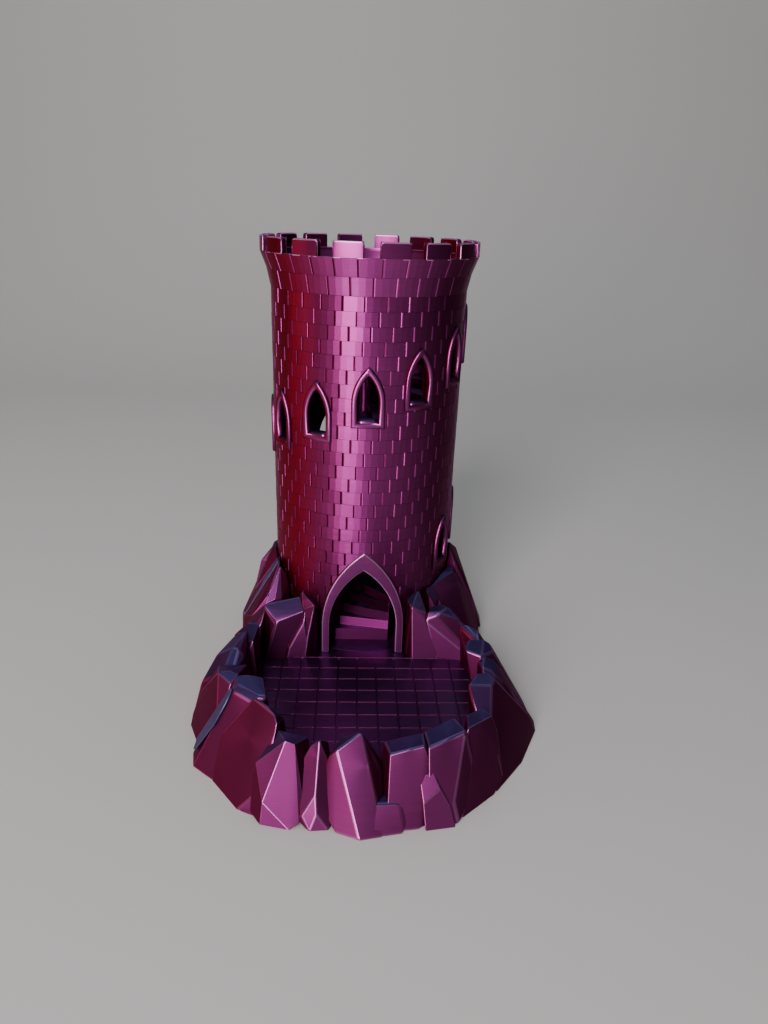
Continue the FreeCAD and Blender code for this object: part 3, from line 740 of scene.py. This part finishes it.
def add_chunk(bm, corners):
    """The convex solid over a chunk's corners."""
    verts = [bm.verts.new(Vector(corner) * MM) for corner in corners]
    made = bmesh.ops.convex_hull(bm, input=verts)
    inside = [v for v in made["geom_interior"] + made["geom_unused"] if isinstance(v, bmesh.types.BMVert)]
    bmesh.ops.delete(bm, geom=list(set(inside)), context="VERTS")


def socket_cutter():
    """The room that the tower needs between the boulders round its foot."""
    bm = bmesh.new()
    turns = 96
    ring = [(SOCKET_R * math.sin(2 * math.pi * k / turns), -SOCKET_R * math.cos(2 * math.pi * k / turns))
            for k in range(turns)]
    made = loft(bm, [[Vector((x, y, z)) for x, y in ring] for z in (-0.01, 0.08)])
    cap(bm, made)
    return new_object("socket", bm, MATERIALS["rock"])


def rock_piece(name, corners, socket):
    """One chunk as a mesh with rounded edges in a lighter colour, a painted highlight. Chunks at the
    tower's foot clear its seat.
    """
    bm = bmesh.new()
    add_chunk(bm, corners)
    bmesh.ops.dissolve_limit(bm, angle_limit=math.radians(4), verts=bm.verts, edges=bm.edges)
    # The rock silk's darker colours are painted shade.
    piece = new_object(name + "_rock", bm, MATERIALS["rock"])
    if name.startswith("foot"):
        hollow = piece.modifiers.new("socket", "BOOLEAN")
        hollow.object = socket
        hollow.operation = "DIFFERENCE"
        hollow.solver = "EXACT"
    # A painted highlight along the rounded edges.
    soften(piece, 0.8 * MM, 14, 3, MATERIALS["rock edge highlight"])
    apply_modifiers(piece)
    return piece


def boulders():
    """The boulders in view, in place of their plain CAD solids."""
    socket = socket_cutter()
    for name, chunks in ROCKS.items():
        pieces = [rock_piece(name, corners, socket) for corners in chunks]
        for corners in SLATE_ROCKS.get(name, []):
            sliver = rock_piece(name, corners, socket)
            # The slivers take the pale slate, partly a painted reflection.
            for polygon in sliver.data.polygons:
                polygon.material_index = 2
            pieces.append(sliver)
        rock = join(pieces)
        rock.data.materials.append(MATERIALS["slate"])
        for polygon in rock.data.polygons:
            polygon.use_smooth = True
        smooth_shading(rock)
        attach(rock, "base")
        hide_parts(name)
    bpy.data.objects.remove(socket)


def join(pieces):
    """Makes one mesh of several pieces and keeps the first piece's object."""
    bm = bmesh.new()
    for piece in pieces:
        bm.from_mesh(piece.data)
    bm.to_mesh(pieces[0].data)
    bm.free()
    for piece in pieces[1:]:
        bpy.data.objects.remove(piece)
    return pieces[0]


def tiled_floor():
    """The dice floor, with the edges of its tiles eased. The round edge at the tower stays sharp."""
    bm = bmesh.new()
    bm.from_mesh(nodes["tray_floor"].data)
    bmesh.ops.remove_doubles(bm, verts=bm.verts, dist=0.005 * MM)
    bmesh.ops.dissolve_limit(bm, angle_limit=math.radians(1), verts=bm.verts, edges=bm.edges)
    tops = []
    for edge in bm.edges:
        level = all(abs(v.co.z - DOOR_FLOOR_Z) < 0.01 * MM for v in edge.verts)
        clear = all(v.co.xy.length > SOCKET_R + MM for v in edge.verts)
        if level and clear and edge.calc_face_angle(0.0) > 1.0:
            tops.append(edge)
    bmesh.ops.bevel(bm, geom=tops, offset=TILE_EASE, segments=1, affect="EDGES", clamp_overlap=True)
    # The floor silk paints a highlight on the tile edges.
    floor = new_object("tiled_floor", bm, MATERIALS["floor"], smooth=False)
    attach(floor, "base")
    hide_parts("tray_floor")


def dress(names, material, bevel_width, angle_deg=25, segments=2, edge_highlight_material=None):
    """CAD nodes that keep their shape: they take a material, and with a width their edges soften."""
    for name in names:
        obj = nodes[name]
        obj.data.materials.clear()
        obj.data.materials.append(material)
        weld = obj.modifiers.new("weld", "WELD")
        weld.merge_threshold = 0.005 * MM
        if bevel_width:
            soften(obj, bevel_width, angle_deg, segments, edge_highlight_material)
            smooth_shading(obj)
        for polygon in obj.data.polygons:
            polygon.use_smooth = bool(bevel_width)


brickwork()
window_surrounds()
door_surround()
crown()
boulders()
# The rear rocks and the foot slab take the rock silk, whose darker colours are painted shade.
rear_rocks = [n for n in nodes if n.startswith("foot_boulder") and n not in ROCKS]
# Their rounded edges take a painted highlight.
dress(rear_rocks, MATERIALS["rock"], 0.9 * MM, 12, 3, MATERIALS["rock edge highlight"])
dress(["foot_slab"], MATERIALS["rock"], 0)
dress(["tower_shell"], MATERIALS["tower"], 0)
tiled_floor()
dress(["tower_floor"], MATERIALS["floor"], 0)
# The stairs' darker colour inside the tower is painted shade.
stairs = [n for n in nodes if n.startswith("stair")] + ["entry_steps", "partition_wall"]
dress(stairs, MATERIALS["stair"], 0.35 * MM, 40)


# ---- studio ----
def studio_floor():
    """A pale floor that sweeps up into a backdrop behind the object."""
    half_width, front, top = 2.5, -2.0, 2.4
    bend_y, bend_r = 0.55, 0.5
    profile = [(front, 0.0), (bend_y, 0.0)]
    for deg in range(10, 91, 10):
        a = math.radians(deg)
        profile.append((bend_y + bend_r * math.sin(a), bend_r - bend_r * math.cos(a)))
    profile.append((bend_y + bend_r, top))
    bm = bmesh.new()
    rings = [[Vector((x, y, z)) for y, z in profile] for x in (-half_width, half_width)]
    loft(bm, rings, closed_rings=False)
    material = bpy.data.materials.new("pale floor")
    material.use_nodes = True
    shader = material.node_tree.nodes["Principled BSDF"]
    shader.inputs["Base Color"].default_value = (0.62, 0.60, 0.57, 1)
    shader.inputs["Roughness"].default_value = 0.6
    new_object("studio_floor", bm, material)


def area_light(name, place, target, size, power, colour):
    """A soft rectangular light at a place, facing a target. Power is in watts."""
    data = bpy.data.lights.new(name, "AREA")
    data.shape = "RECTANGLE"
    data.size, data.size_y = size
    data.energy = power
    data.color = colour
    light = bpy.data.objects.new(name, data)
    light.location = place
    light.rotation_euler = (Vector(target) - Vector(place)).to_track_quat("-Z", "Y").to_euler()
    bpy.context.scene.collection.objects.link(light)


def camera():
    """The viewing angle: in front, a little left of the axis, looking down."""
    eye = (-7.6 * MM, -378.4 * MM, 212.0 * MM)
    yaw, pitch, roll = math.radians(2.793), math.radians(21.403), math.radians(2.051)
    data = bpy.data.cameras.new("camera")
    data.lens = 27.06
    data.sensor_width = 36.0
    data.clip_start = 0.01
    obj = bpy.data.objects.new("camera", data)
    obj.matrix_world = (Matrix.Translation(eye)
                        @ Matrix.Rotation(-yaw, 4, "Z")
                        @ Matrix.Rotation(math.radians(90) - pitch, 4, "X")
                        @ Matrix.Rotation(roll, 4, "Z"))
    bpy.context.scene.collection.objects.link(obj)
    bpy.context.scene.camera = obj


def world(strength, colour):
    """Even light from all round."""
    w = bpy.data.worlds.new("studio")
    w.use_nodes = True
    background = w.node_tree.nodes["Background"]
    background.inputs["Color"].default_value = (*colour, 1)
    background.inputs["Strength"].default_value = strength
    bpy.context.scene.world = w


studio_floor()
area_light("window", (-0.38, -1.0, 0.5), (0, 0, 0.1), (0.45, 1.1), 15.0, (1.0, 0.95, 0.98))
area_light("overhead", (0.0, 0.35, 1.4), (0, 0, 0.05), (1.4, 1.0), 5.0, (0.85, 0.93, 1.0))
area_light("left_fill", (-0.95, -0.1, 0.18), (0, 0, 0.1), (0.6, 0.34), 0.7, (1.0, 0.75, 0.65))
world(0.13, (0.85, 0.92, 1.0))
camera()
